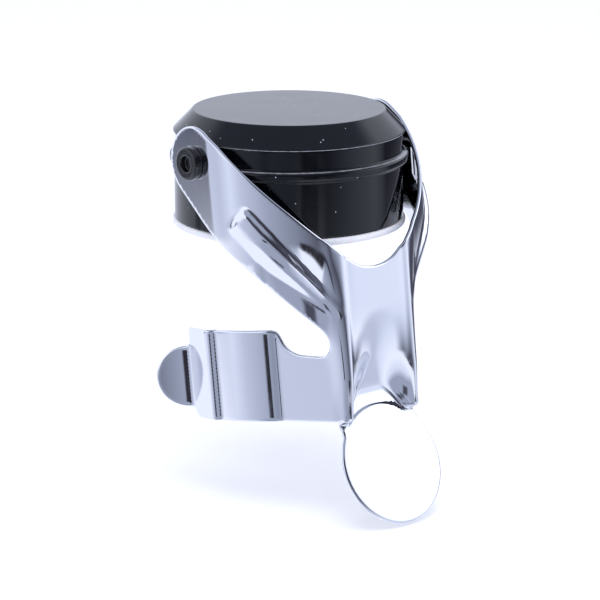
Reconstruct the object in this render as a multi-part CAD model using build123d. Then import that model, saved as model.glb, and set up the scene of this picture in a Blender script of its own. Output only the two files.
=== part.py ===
from build123d import *
import math
import os

# All lengths are in millimetres and all angles in degrees.
# Frame: origin on the bottle's axis, in the plane where the cap sits on the
# bottle's mouth. +Z runs up through the cap, +X points to the front of the
# lever, and the hinge pins lie along Y.

# Cap
cap_radius = 21.5
cap_wall_height = 16.15
bead_projection = 0.85
bead_height = 2.0
bead_round_share = 0.9
bead_above_seat = 11.8
band_recess = 0.3
cover_overhang = 0.15
cover_edge_height = 0.35
cover_bevel_height = 3.75
cover_bevel_width = 3.65
cover_wall = 2.0
core_step = 3.0
mouth_step = 1.6
mouth_depth = 2.5
joint_gap = 0.05

# Seat ring under the cap
ring_projection = 0.4
ring_thickness = 1.3
ring_edge_radius = 0.5
ring_lip = 1.3
spigot_wall = 0.9
spigot_height = 3.0

# Sprung seal
slide_wall = 4.9
seal_stroke = 2.5
seat_gap = 0.1
soft_gap = 0.3
plate_gap = 0.1
pad_flange_thickness = 1.8
pad_groove_radius = 12.0
pad_groove_size = 0.5
plate_thickness = 1.6
plate_boss_height = 2.6
spring_radius = 8.0
spring_wire = 1.2
spring_length = 8.4
spring_turns = 3.5
spring_side_gap = 0.3

# Hinge pins
pin_above_seat = 14.0
pin_radius = 2.4
pin_head_radius = 3.1
pin_head_thickness = 1.65
pin_dimple_radius = 1.5
pin_dimple_depth = 1.0
pin_tail = 5.5
pin_running_gap = 0.05
pin_press_gap = 0.02
pin_end_gap = 0.2

# Lever sheet
sheet = 0.8
ear_radius = 6.7
ear_gap = 0.2
ear_flat_depth = 0.6
ear_flat_margin = 0.7
lever_lean = 7.4
lever_front_gap = 0.5
lever_corner_share = 0.77
split_angle = 55.0
arm_slope = 44.0
vee_depth = 20.6
vee_width_share = 0.85

# Raised rib on each arm
rib_height = 0.9
rib_width = 5.6
rib_start = 15.0
rib_length = 20.0
rib_slope = 50.0
rib_facing = 45.0

# Neck of the lever and the thumb disc
neck_half_width = 8.8
saddle_drop = 32.0
neck_length = 17.4
saddle_middle_share = 0.4
saddle_middle_depth = 1.2
saddle_low_rise = 3.9
saddle_low_depth = 3.6
saddle_foot_depth = 2.6
disc_radius = 11.3
disc_lap = 2.2
disc_top_depth = 3.4
disc_tilt = 20.0

# Clip that wraps round the bottle's neck
clip_inner_radius = 18.5
clip_set_back = 4.2
clip_foot_rise = 0.6
clip_height = 17.2
clip_front_angle = 51.0
clip_back_angle = 84.5
web_step_height = 5.2
web_step_radius = 4.5
jog_forward = 1.0
jog_inward = 1.1
tail_step_back = 1.3
tail_step_out = 1.2
tail_length = 6.3
tail_turn_in = 4.0
tail_corner_radius = 2.0
tab_root = 0.7
tab_radius = 5.8
tab_rise = 7.8
tab_angle = 50.0

cut_over = 5.0

# Places worked out from the sizes
seam_z = ring_thickness + cap_wall_height
band_radius = cap_radius - band_recess
bead_radius = cap_radius + bead_projection
cover_radius = cap_radius + cover_overhang
cover_top_radius = cover_radius - cover_bevel_width
cover_top_z = seam_z + cover_edge_height + cover_bevel_height
slide_radius = cap_radius - slide_wall
core_radius = slide_radius - core_step
mouth_radius = core_radius + mouth_step
ring_radius = cap_radius + ring_projection
ring_hole_radius = slide_radius - ring_lip
pad_base_z = ring_thickness + seat_gap
pad_top_z = pad_base_z + pad_flange_thickness
plate_top_z = pad_top_z + plate_thickness
slide_top_z = plate_top_z + seal_stroke + soft_gap
spring_top_z = plate_top_z + spring_length
flat_y = bead_radius - ear_flat_depth
ear_inner_y = flat_y + ear_gap
ear_outer_y = ear_inner_y + sheet
head_y = ear_outer_y + pin_running_gap
pin_tip_y = cap_radius - pin_tail
lever_front = cap_radius + lever_front_gap
lever_corner_radius = lever_corner_share * ear_outer_y
neck_drop = saddle_drop + neck_length
saddle_low_drop = neck_drop - saddle_low_rise
saddle_middle_drop = saddle_drop + saddle_middle_share * neck_length
disc_drop = neck_drop + disc_radius * math.cos(math.radians(disc_tilt)) - disc_lap
disc_center_x = lever_front - disc_top_depth + disc_radius * math.sin(math.radians(disc_tilt))
clip_bottom_drop = neck_drop - clip_foot_rise
clip_top_drop = clip_bottom_drop - clip_height
web_top_drop = clip_top_drop + web_step_height
tab_drop = clip_bottom_drop - tab_rise
clip_outer_radius = clip_inner_radius + sheet
clip_mid_radius = clip_inner_radius + sheet / 2


def save(shape, name):
    export_step(shape, os.path.join("parts", name + ".step"))


def disc_at(radius, bottom, height):
    base = Pos(0, 0, bottom) * Circle(radius)
    return extrude(base, amount=height, dir=(0, 0, 1))


def rod_along_y(radius, low, high):
    base = Plane(origin=(0, low, pin_above_seat), z_dir=(0, 1, 0)) * Circle(radius)
    return extrude(base, amount=high - low, dir=(0, 1, 0))


def turned(points):
    face = make_face(Polyline(*points, close=True))
    return revolve(Plane.XZ * face, axis=Axis.Z)


def build_cap_body():
    wall = disc_at(cap_radius, ring_thickness, bead_above_seat - ring_thickness)
    bead = disc_at(bead_radius, bead_above_seat, bead_height)
    bead = fillet(bead.edges().filter_by(GeomType.CIRCLE), bead_projection * bead_round_share)
    band_base = bead_above_seat + bead_height / 2
    band = disc_at(band_radius, band_base, seam_z - band_base)
    body = wall + bead + band
    pocket_height = spigot_height + joint_gap
    body -= disc_at(slide_radius + spigot_wall + joint_gap, ring_thickness, pocket_height)
    body -= disc_at(slide_radius, ring_thickness, slide_top_z - ring_thickness)
    body -= disc_at(core_radius, ring_thickness, seam_z)
    body -= disc_at(mouth_radius, seam_z - mouth_depth, mouth_depth + cut_over)
    for side in (-1, 1):
        flat = rod_along_y(ear_radius + ear_flat_margin, flat_y, flat_y + cut_over)
        socket = rod_along_y(pin_radius + pin_press_gap, pin_tip_y - pin_end_gap, cap_radius + cut_over)
        tool = flat + socket
        body -= tool if side > 0 else mirror(tool, Plane.XZ)
    return body


def build_cap_cover():
    bevel_z = seam_z + cover_edge_height
    roof_z = cover_top_z - cover_wall
    shell = turned([
        (0, seam_z),
        (cover_radius, seam_z),
        (cover_radius, bevel_z),
        (cover_top_radius, cover_top_z),
        (0, cover_top_z),
    ])
    shell -= disc_at(mouth_radius - joint_gap - cover_wall, seam_z, roof_z - seam_z)
    spigot_base = seam_z - mouth_depth + joint_gap
    spigot = disc_at(mouth_radius - joint_gap, spigot_base, seam_z - spigot_base)
    spigot -= disc_at(mouth_radius - joint_gap - cover_wall, spigot_base, seam_z - spigot_base)
    post_radius = spring_radius + spring_wire
    bore_radius = spring_radius - spring_wire
    post = disc_at(post_radius, spring_top_z, roof_z - spring_top_z)
    post -= disc_at(bore_radius, spring_top_z, roof_z - spring_top_z)
    return shell + spigot + post


def build_seat_ring():
    flange = disc_at(ring_radius, 0, ring_thickness)
    rim = flange.edges().filter_by(GeomType.CIRCLE)
    flange = fillet(rim, ring_edge_radius)
    spigot = disc_at(slide_radius + spigot_wall, ring_thickness / 2, ring_thickness / 2 + spigot_height)
    ring = flange + spigot
    ring -= disc_at(slide_radius, ring_thickness, spigot_height + cut_over)
    ring -= disc_at(ring_hole_radius, -cut_over, ring_thickness + 2 * cut_over)
    return ring


def build_seal_pad():
    nose = disc_at(ring_hole_radius - soft_gap, 0, pad_base_z)
    flange = disc_at(slide_radius - soft_gap, pad_base_z, pad_flange_thickness)
    pad = nose + flange
    groove_outer = disc_at(pad_groove_radius + pad_groove_size, 0, pad_groove_size)
    groove_inner = disc_at(pad_groove_radius - pad_groove_size, 0, pad_groove_size)
    return pad - (groove_outer - groove_inner)


def build_pressure_plate():
    plate = disc_at(slide_radius - plate_gap, pad_top_z, plate_thickness)
    boss_radius = spring_radius - spring_wire / 2 - spring_side_gap
    boss = disc_at(boss_radius, plate_top_z, plate_boss_height)
    hollow = disc_at(boss_radius - plate_thickness, plate_top_z, plate_boss_height)
    return plate + boss - hollow


def build_seal_spring():
    coil_height = spring_length - spring_wire
    path = Helix(coil_height / spring_turns, coil_height, spring_radius)
    start = path @ 0
    section = Plane(origin=start, z_dir=path % 0) * Circle(spring_wire / 2)
    coil = sweep(section, path=path, is_frenet=True)
    return Pos(0, 0, plate_top_z + spring_wire / 2) * coil


def build_pivot_pin(side):
    shank = rod_along_y(pin_radius, pin_tip_y, head_y)
    head = rod_along_y(pin_head_radius, head_y, head_y + pin_head_thickness)
    rim_y = head_y + pin_head_thickness
    rim = head.edges().filter_by(GeomType.CIRCLE).sort_by(Axis.Y)[-1]
    head = fillet(rim, pin_head_thickness / 4)
    dimple = rod_along_y(pin_dimple_radius, rim_y - pin_dimple_depth, rim_y)
    pin = shank + head - dimple
    return pin if side > 0 else mirror(pin, Plane.XZ)


def sheet_faces():
    """Outer faces of the rounded U that the sheet follows, +Y half, before its outline is cut."""
    center_x = lever_front - lever_corner_radius
    center_y = ear_outer_y - lever_corner_radius
    high = 2 * ear_radius
    low = -neck_drop - cut_over
    half = [
        Line((-ear_radius - cut_over, ear_outer_y), (center_x, ear_outer_y)),
        CenterArc((center_x, center_y), lever_corner_radius, 90, -90),
        Line((lever_front, center_y), (lever_front, 0)),
    ]
    edges = [Pos(0, 0, high) * piece.edges()[0] for piece in half]
    return [Face.extrude(edge, Vector(0, 0, low - high)) for edge in edges]


def thickened(cutter, inward, outward=0):
    """The part of the sheet inside a cutter, from inward below its outer face to outward above."""
    solids = []
    for face in sheet_faces():
        common = face & cutter
        if common is None:
            continue
        for piece in common.faces():
            solids.append(thicken(piece, amount=inward))
            if outward:
                solids.append(thicken(piece, amount=-outward))
    return Part() + solids


def split_point():
    """Place on the corner where the side outline hands over to the front outline."""
    turn = math.radians(split_angle)
    x = lever_front - lever_corner_radius * (1 - math.sin(turn))
    y = ear_outer_y - lever_corner_radius * (1 - math.cos(turn))
    return x, y


def arm_edge_heights():
    """Heights of the arm's upper and lower edge at the split point."""
    slope = math.radians(arm_slope)
    middle = -split_point()[0] * math.tan(slope)
    half = ear_radius / math.cos(slope)
    return middle + half, middle - half


def strip(start, end, width):
    """Flat strip between two points, square at its ends."""
    start = Vector(*start)
    end = Vector(*end)
    along = (end - start).normalized()
    across = Vector(-along.Y, along.X) * (width / 2)
    return make_face(Polyline(start + across, end + across, end - across, start - across, close=True))


def side_prism(outline):
    """Sweeps a side view outline, in x and height over the pin, to +Y."""
    reach = 2 * ear_outer_y
    frame = Plane(origin=(0, reach, 0), x_dir=(1, 0, 0), z_dir=(0, -1, 0))
    return extrude(frame * outline, amount=reach)


def front_prism(outline):
    """Sweeps a front view outline, in y and height over the pin, to +X."""
    frame = Plane(origin=(0, 0, 0), x_dir=(0, 1, 0), z_dir=(1, 0, 0))
    return extrude(frame * outline, amount=2 * lever_front)


def arm_cutter():
    slope = math.radians(arm_slope)
    reach = 2 * lever_front
    end = (reach * math.cos(slope), -reach * math.sin(slope))
    prism = side_prism(strip((0, 0), end, 2 * ear_radius) + Circle(ear_radius))
    front_space = Pos(split_point()[0] + reach / 2, reach / 2) * Box(reach, 2 * reach, 4 * reach)
    return prism - front_space


def neck_cutter():
    """Front of the web from the vee down to the neck, +Y half."""
    x, y = split_point()
    high, low = arm_edge_heights()
    vee_radius = vee_width_share * y
    center_z = vee_radius - vee_depth
    reach = math.hypot(y, high - center_z)
    lean = math.atan2(high - center_z, y)
    touch = lean - math.acos(vee_radius / reach)
    touch_point = (vee_radius * math.cos(touch), center_z + vee_radius * math.sin(touch))
    vee = CenterArc((0, center_z), vee_radius, -90, 90 + math.degrees(touch))
    rest = Polyline(
        touch_point,
        (y, high),
        (y, low),
        (neck_half_width, -saddle_drop),
        (0, -saddle_drop),
        (0, -vee_depth),
    )
    return front_prism(make_face([vee.edges()[0]] + rest.edges()))


def build_web():
    """Ear, arm and half of the neck on the +Y side, as one bent sheet."""
    web = thickened(arm_cutter(), sheet) + thickened(neck_cutter(), sheet)
    web += thickened(rib_prism(rib_width), sheet / 2, rib_height)
    web -= thickened(rib_prism(rib_width - 2 * sheet), sheet, rib_height - sheet)
    hole = Plane(origin=(0, 0, 0), z_dir=(0, 1, 0)) * Circle(pin_radius + pin_running_gap)
    return web - extrude(hole, amount=2 * ear_outer_y)


def rib_prism(width):
    """Strip with round ends along the arm, swept outwards square to the rounded corner."""
    slope = math.radians(arm_slope)
    facing = math.radians(rib_facing)
    lean = math.radians(rib_slope)
    start_x = rib_start * math.cos(slope)
    turn = math.asin((start_x - lever_front + lever_corner_radius) / lever_corner_radius)
    start_y = ear_outer_y - lever_corner_radius * (1 - math.cos(turn))
    start = (start_y * math.cos(facing) - start_x * math.sin(facing), -rib_start * math.sin(slope))
    end = (start[0] - rib_length * math.cos(lean), start[1] - rib_length * math.sin(lean))
    frame = Plane(
        origin=(0, 0, 0),
        x_dir=(-math.sin(facing), math.cos(facing), 0),
        z_dir=(math.cos(facing), math.sin(facing), 0),
    )
    return extrude(frame * rounded_strip(start, end, width), amount=2 * lever_front)


def rounded_strip(start, end, width):
    ends = [Pos(*point) * Circle(width / 2) for point in (start, end)]
    return strip(start, end, width) + ends


def around_neck(radius, angle):
    """Point at an angle round the clip's centre, which is set back from the pin axis."""
    turn = math.radians(angle)
    return radius * math.cos(turn) - clip_set_back, radius * math.sin(turn)


def clip_wall(outline, top_drop):
    return extrude(Pos(0, 0, -clip_bottom_drop) * outline, amount=clip_bottom_drop - top_drop, dir=(0, 0, 1))


def build_clip_wing():
    """One wing of the clip, +Y side: web, jog, arc, stepped tail and finger tab."""
    arc_start = around_neck(clip_mid_radius, clip_front_angle)
    arc_end = around_neck(clip_mid_radius, clip_back_angle)
    web_end = (arc_start[0] + jog_forward, arc_start[1] - jog_inward)
    web_start = (neck_side_x() - sheet / 2, neck_half_width - sheet / 2)
    turn_in = math.radians(tail_turn_in)
    tail_start = (arc_end[0] - tail_step_back, arc_end[1] + tail_step_out)
    tail_end = (
        tail_start[0] - tail_length * math.cos(turn_in),
        tail_start[1] - tail_length * math.sin(turn_in),
    )
    far = 2 * clip_outer_radius
    wedge = make_face(Polyline(
        around_neck(0, 0),
        around_neck(far, clip_front_angle),
        around_neck(far, (clip_front_angle + clip_back_angle) / 2),
        around_neck(far, clip_back_angle),
        close=True,
    ))
    arc = (Pos(*around_neck(0, 0)) * (Circle(clip_outer_radius) - Circle(clip_inner_radius))) & wedge
    plan = rounded_strip(arc_start, web_end, sheet)
    plan += rounded_strip(web_end, web_start, sheet)
    plan += rounded_strip(arc_end, tail_start, sheet)
    plan += rounded_strip(tail_start, tail_end, sheet)
    wing = clip_wall(plan + arc, clip_top_drop)
    return wing - web_relief(arc_start[0]) - tail_corner(tail_end[0]) + build_tab(tail_end)


def web_relief(back):
    """Space over the lower, front part of the wing, with a rounded step down to it."""
    height = 2 * (web_top_drop - clip_top_drop)
    length = 2 * lever_front
    outline = Pos(back + length / 2, height / 2 - web_top_drop) * Rectangle(length, height)
    corner = outline.vertices().sort_by_distance((back, -web_top_drop))[0]
    return side_prism(fillet(corner, web_step_radius))


def tail_corner(back):
    """What the rounding of the tail's lower corner takes away."""
    middle = (back + tail_corner_radius, tail_corner_radius - clip_bottom_drop)
    square = Pos(back, -clip_bottom_drop) * Rectangle(2 * tail_corner_radius, 2 * tail_corner_radius)
    return side_prism(square - Pos(*middle) * Circle(tail_corner_radius))


def build_tab(root):
    away = (-math.cos(math.radians(tab_angle)), math.sin(math.radians(tab_angle)), 0)
    frame = Plane(
        origin=(root[0], root[1], -tab_drop),
        x_dir=away,
        z_dir=Vector(*away).cross(Vector(0, 0, 1)),
    )
    half = Circle(tab_radius) & (Pos(tab_radius, 0) * Rectangle(2 * tab_radius, 2 * tab_radius))
    outline = Pos(tab_root / 2, 0) * Rectangle(tab_root, 2 * tab_radius) + Pos(tab_root, 0) * half
    return extrude(frame * outline, amount=sheet / 2, both=True)


def neck_side_x():
    """How far forward the outer face of the sheet lies at the neck's side edges."""
    turn = math.acos((neck_half_width - ear_outer_y + lever_corner_radius) / lever_corner_radius)
    return lever_front - lever_corner_radius * (1 - math.sin(turn))


def saddle_section(drop, depth):
    """Level cut through the neck, whose middle lies back from the front of the lever by a depth."""
    front = ThreePointArc(
        (neck_side_x(), -neck_half_width),
        (lever_front - depth, 0),
        (neck_side_x(), neck_half_width),
    )
    back = Pos(-sheet, 0) * front
    sides = [Line(front @ 1, back @ 1), Line(back @ 0, front @ 0)]
    outline = make_face([front.edges()[0], sides[0].edges()[0], back.edges()[0], sides[1].edges()[0]])
    return Pos(0, 0, -drop) * outline


def build_neck():
    """Neck as one channel that deepens from the web down to the thumb disc."""
    return loft([
        saddle_section(saddle_drop, 0),
        saddle_section(saddle_middle_drop, saddle_middle_depth),
        saddle_section(saddle_low_drop, saddle_low_depth),
        saddle_section(neck_drop, saddle_foot_depth),
    ])


def build_thumb_disc():
    frame = Plane(origin=(disc_center_x, 0, -disc_drop), z_dir=(1, 0, 0)).rotated((0, -disc_tilt, 0))
    return extrude(frame * Circle(disc_radius), amount=-sheet)


def build_lever():
    half = build_web() + build_clip_wing()
    lever = half + mirror(half, Plane.XZ) + build_neck() + build_thumb_disc()
    return Pos(0, 0, pin_above_seat) * (Rotation(0, -lever_lean, 0) * lever)


os.makedirs("parts", exist_ok=True)
save(build_cap_body(), "cap_body")
save(build_cap_cover(), "cap_cover")
save(build_seat_ring(), "seat_ring")
save(build_seal_pad(), "seal_pad")
save(build_pressure_plate(), "pressure_plate")
save(build_seal_spring(), "seal_spring")
save(build_pivot_pin(-1), "pivot_pin_left")
save(build_pivot_pin(1), "pivot_pin_right")
save(build_lever(), "lever")
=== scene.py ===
import math
import bmesh
import bpy
import numpy as np
from mathutils import Matrix, Vector, geometry, kdtree


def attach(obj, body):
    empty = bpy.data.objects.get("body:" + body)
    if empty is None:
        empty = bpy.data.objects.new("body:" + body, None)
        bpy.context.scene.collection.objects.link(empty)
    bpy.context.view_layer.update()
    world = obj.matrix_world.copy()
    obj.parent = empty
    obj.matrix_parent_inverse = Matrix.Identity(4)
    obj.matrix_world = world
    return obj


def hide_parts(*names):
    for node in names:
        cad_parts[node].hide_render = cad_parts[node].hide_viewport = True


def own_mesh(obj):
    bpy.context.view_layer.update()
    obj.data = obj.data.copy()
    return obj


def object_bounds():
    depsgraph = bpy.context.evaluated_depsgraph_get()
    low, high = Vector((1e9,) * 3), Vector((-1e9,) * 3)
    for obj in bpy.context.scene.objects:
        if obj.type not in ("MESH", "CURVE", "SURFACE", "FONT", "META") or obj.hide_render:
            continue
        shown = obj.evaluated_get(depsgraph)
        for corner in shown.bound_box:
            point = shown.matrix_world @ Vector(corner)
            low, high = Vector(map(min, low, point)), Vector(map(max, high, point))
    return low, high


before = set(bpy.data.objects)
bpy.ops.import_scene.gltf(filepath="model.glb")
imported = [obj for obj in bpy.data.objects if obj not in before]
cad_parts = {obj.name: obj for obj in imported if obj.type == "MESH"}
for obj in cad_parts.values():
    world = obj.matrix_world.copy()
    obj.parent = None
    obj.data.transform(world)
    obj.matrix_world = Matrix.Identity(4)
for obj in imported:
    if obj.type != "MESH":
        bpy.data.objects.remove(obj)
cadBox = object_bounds()
mm = 0.001

# Sizes that several pieces share, in millimetres but for the lean. Height 0 is the seal's underside.
pinHeight = 14.0
leverLean = math.radians(7.4)
sheetThickness = 0.8


# Colour and node helpers

def fromHex(code):
    values = [int(code[i:i + 2], 16) / 255 for i in (1, 3, 5)]
    linear = [v / 12.92 if v <= 0.04045 else ((v + 0.055) / 1.055) ** 2.4 for v in values]
    return (*linear, 1.0)


def addNode(tree, kind, links=(), **settings):
    node = tree.nodes.new(kind)
    for key, value in settings.items():
        setattr(node, key, value)
    for socket, source in dict(links).items():
        if isinstance(source, bpy.types.NodeSocket):
            tree.links.new(source, node.inputs[socket])
        else:
            node.inputs[socket].default_value = source
    return node


def startMaterial(name, **shaderValues):
    material = bpy.data.materials.new(name)
    material.use_nodes = True
    shader = material.node_tree.nodes["Principled BSDF"]
    for socket, value in shaderValues.items():
        shader.inputs[socket.replace("_", " ")].default_value = value
    place = addNode(material.node_tree, "ShaderNodeTexCoord").outputs["Object"]
    return material, material.node_tree, shader, place


def perMillimetre(size):
    return 1 / (size * mm)


# Stainless steel sheet, stamped and then buffed to a mirror: soft waves left by the press bend what
# it reflects, and the buffing leaves a faint haze in patches. The buffing lines are finer than the
# render can show, so they are drawn coarse.
def polishedSteel():
    steel = {"colour": "#ebecf0", "waveSize": 7.0, "waveHeight": 0.014, "hazeSize": 4.0,
             "lineSize": 0.35, "lineStretch": 0.06, "hazeFrom": 0.1, "hazeTo": 0.5,
             "smoothest": 0.03, "roughest": 0.1}
    material, tree, shader, place = startMaterial(
        "polishedStainlessSteel", Base_Color=fromHex(steel["colour"]), Metallic=1.0)
    waves = addNode(tree, "ShaderNodeTexNoise",
                    {"Vector": place, "Scale": perMillimetre(steel["waveSize"]), "Detail": 1.0})
    haze = addNode(tree, "ShaderNodeTexNoise",
                   {"Vector": place, "Scale": perMillimetre(steel["hazeSize"]), "Detail": 4.0})
    along = addNode(tree, "ShaderNodeMapping",
                    {"Vector": place, "Scale": (1.0, 1.0, steel["lineStretch"])})
    lines = addNode(tree, "ShaderNodeTexNoise", {
        "Vector": along.outputs[0], "Scale": perMillimetre(steel["lineSize"]), "Detail": 2.0})
    both = addNode(tree, "ShaderNodeMath", {0: haze.outputs[0], 1: lines.outputs[0]},
                   operation="MULTIPLY")
    rough = addNode(tree, "ShaderNodeMapRange", {
        "Value": both.outputs[0], "From Min": steel["hazeFrom"], "From Max": steel["hazeTo"],
        "To Min": steel["smoothest"], "To Max": steel["roughest"]})
    bump = addNode(tree, "ShaderNodeBump", {
        "Height": waves.outputs[0], "Strength": 1.0, "Distance": steel["waveHeight"] * mm})
    tree.links.new(rough.outputs[0], shader.inputs["Roughness"])
    tree.links.new(bump.outputs[0], shader.inputs["Normal"])
    return material


# Black ABS, injection moulded in a polished mould: deep gloss with specks, fine rubs, and pale
# lines on the seam's and the bead's edges, partly dust and partly a painted highlight.
def glossBlack():
    gloss = {"colour": "#06070d", "dustAndHighlight": "#b4b7c2", "speckSpacing": 1.6, "speckSize": 0.12,
             "bare": 0.5, "dustAndHighlightAt": (17.6, 13.62), "dustAndHighlightWidth": 0.07, "dustAndHighlightBreaks": 1.2,
             "rubSize": 5.0, "rubFrom": 0.35, "rubTo": 0.7, "smoothest": 0.06, "roughest": 0.15}
    material, tree, shader, place = startMaterial("mouldedBlackABS", IOR=1.46)
    cells = addNode(tree, "ShaderNodeTexVoronoi",
                    {"Vector": place, "Scale": perMillimetre(gloss["speckSpacing"])})
    near = addNode(tree, "ShaderNodeMath",
                   {0: cells.outputs["Distance"], 1: gloss["speckSize"] / gloss["speckSpacing"]},
                   operation="LESS_THAN")
    chance = addNode(tree, "ShaderNodeSeparateColor", {"Color": cells.outputs["Color"]})
    few = addNode(tree, "ShaderNodeMath", {0: chance.outputs[0], 1: gloss["bare"]},
                  operation="GREATER_THAN")
    marks = addNode(tree, "ShaderNodeMath", {0: near.outputs[0], 1: few.outputs[0]},
                    operation="MULTIPLY")
    height = addNode(tree, "ShaderNodeSeparateXYZ", {0: place}).outputs["Z"]
    breaks = addNode(tree, "ShaderNodeTexNoise", {
        "Vector": place, "Scale": perMillimetre(gloss["dustAndHighlightBreaks"]), "Detail": 3.0})
    # The broken pale lines at the cover's seam and the bead's upper edge are partly dust and partly
    # a painted highlight where those edges catch the light.
    for level in gloss["dustAndHighlightAt"]:
        line = addNode(tree, "ShaderNodeMath",
                       {0: height, 1: level * mm, 2: gloss["dustAndHighlightWidth"] * mm}, operation="COMPARE")
        broken = addNode(tree, "ShaderNodeMath", {0: line.outputs[0], 1: breaks.outputs[0]},
                         operation="MULTIPLY")
        marks = addNode(tree, "ShaderNodeMath", {0: marks.outputs[0], 1: broken.outputs[0]},
                        operation="MAXIMUM")
    colour = addNode(tree, "ShaderNodeMix", {
        "Factor": marks.outputs[0], "A": fromHex(gloss["colour"]), "B": fromHex(gloss["dustAndHighlight"])},
        data_type="RGBA")
    rubs = addNode(tree, "ShaderNodeTexNoise",
                   {"Vector": place, "Scale": perMillimetre(gloss["rubSize"]), "Detail": 5.0})
    rough = addNode(tree, "ShaderNodeMapRange", {
        "Value": rubs.outputs[0], "From Min": gloss["rubFrom"], "From Max": gloss["rubTo"],
        "To Min": gloss["smoothest"], "To Max": gloss["roughest"]})
    tree.links.new(colour.outputs["Result"], shader.inputs["Base Color"])
    tree.links.new(rough.outputs[0], shader.inputs["Roughness"])
    return material


# White polypropylene, moulded satin: slightly see-through at its edges, with a very fine grain.
def satinWhite():
    satin = {"colour": "#eeeff5", "grainSize": 0.3, "grainHeight": 0.004, "depth": 0.6}
    material, tree, shader, place = startMaterial(
        "mouldedWhitePolypropylene", Base_Color=fromHex(satin["colour"]), Roughness=0.34, IOR=1.49,
        Subsurface_Weight=0.15, Subsurface_Scale=satin["depth"] * mm)
    grain = addNode(tree, "ShaderNodeTexNoise",
                    {"Vector": place, "Scale": perMillimetre(satin["grainSize"]), "Detail": 3.0})
    bump = addNode(tree, "ShaderNodeBump", {
        "Height": grain.outputs[0], "Strength": 1.0, "Distance": satin["grainHeight"] * mm})
    tree.links.new(bump.outputs[0], shader.inputs["Normal"])
    return material


# Translucent silicone rubber, cast: matt, milky, with a few soft clouds.
def castSilicone():
    rubber = {"milk": "#cfd2d8", "cloud": "#e3e5ea", "cloudSize": 3.0, "depth": 1.5}
    material, tree, shader, place = startMaterial(
        "castSiliconeRubber", Roughness=0.5, IOR=1.41, Subsurface_Weight=0.4,
        Subsurface_Scale=rubber["depth"] * mm)
    clouds = addNode(tree, "ShaderNodeTexNoise",
                     {"Vector": place, "Scale": perMillimetre(rubber["cloudSize"]), "Detail": 4.0})
    colour = addNode(tree, "ShaderNodeMix", {
        "Factor": clouds.outputs[0], "A": fromHex(rubber["milk"]), "B": fromHex(rubber["cloud"])},
        data_type="RGBA")
    tree.links.new(colour.outputs["Result"], shader.inputs["Base Color"])
    return material


# Natural ABS, moulded: warm white, lightly glossy, with faint flow marks.
def naturalPlastic():
    natural = {"shade": "#d8d6cd", "light": "#e6e4dc", "flowSize": 6.0, "flowTwist": 1.5}
    material, tree, shader, place = startMaterial("mouldedNaturalABS", Roughness=0.3, IOR=1.54)
    flow = addNode(tree, "ShaderNodeTexNoise", {
        "Vector": place, "Scale": perMillimetre(natural["flowSize"]), "Detail": 3.0,
        "Distortion": natural["flowTwist"]})
    colour = addNode(tree, "ShaderNodeMix", {
        "Factor": flow.outputs[0], "A": fromHex(natural["shade"]), "B": fromHex(natural["light"])},
        data_type="RGBA")
    tree.links.new(colour.outputs["Result"], shader.inputs["Base Color"])
    return material


# Stainless spring wire, cold drawn: a satin metal whose sheen varies in fine patches, as the die
# leaves it.
def drawnWire():
    wire = {"colour": "#c3c5ca", "patchSize": 0.4, "patchFrom": 0.3, "patchTo": 0.7,
            "smoothest": 0.2, "roughest": 0.36}
    material, tree, shader, place = startMaterial(
        "drawnSpringSteel", Base_Color=fromHex(wire["colour"]), Metallic=1.0)
    patches = addNode(tree, "ShaderNodeTexNoise",
                      {"Vector": place, "Scale": perMillimetre(wire["patchSize"]), "Detail": 4.0})
    rough = addNode(tree, "ShaderNodeMapRange", {
        "Value": patches.outputs[0], "From Min": wire["patchFrom"], "From Max": wire["patchTo"],
        "To Min": wire["smoothest"], "To Max": wire["roughest"]})
    tree.links.new(rough.outputs[0], shader.inputs["Roughness"])
    return material


# Black nylon, moulded: the pins' heads are a shade less glossy than the cap, and finely pitted.
def blackNylon():
    nylon = {"colour": "#0e0e11", "pitSize": 0.5, "pitDepth": 0.01, "pitFrom": 0.3, "pitTo": 0.7,
             "smoothest": 0.12, "roughest": 0.28}
    material, tree, shader, place = startMaterial(
        "mouldedBlackNylon", Base_Color=fromHex(nylon["colour"]), IOR=1.53, Coat_Weight=0.3,
        Coat_Roughness=0.1)
    pits = addNode(tree, "ShaderNodeTexNoise",
                   {"Vector": place, "Scale": perMillimetre(nylon["pitSize"]), "Detail": 4.0})
    rough = addNode(tree, "ShaderNodeMapRange", {
        "Value": pits.outputs[0], "From Min": nylon["pitFrom"], "From Max": nylon["pitTo"],
        "To Min": nylon["smoothest"], "To Max": nylon["roughest"]})
    bump = addNode(tree, "ShaderNodeBump", {
        "Height": pits.outputs[0], "Strength": 1.0, "Distance": nylon["pitDepth"] * mm})
    tree.links.new(rough.outputs[0], shader.inputs["Roughness"])
    tree.links.new(bump.outputs[0], shader.inputs["Normal"])
    return material


materials = {
    "polished_steel": polishedSteel(),
    "black_plastic": glossBlack(),
    "white_plastic": satinWhite(),
    "silicone": castSilicone(),
    "plain_plastic": naturalPlastic(),
    "spring_steel": drawnWire(),
    "pin_plastic": blackNylon(),
}
print("materials made")


# Shared mesh steps

def placePiece(piece, body, slot, *nodes):
    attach(piece, body)
    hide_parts(*nodes)


def linkPiece(name, mesh):
    piece = bpy.data.objects.new(name, mesh)
    bpy.context.scene.collection.objects.link(piece)
    return piece


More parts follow.
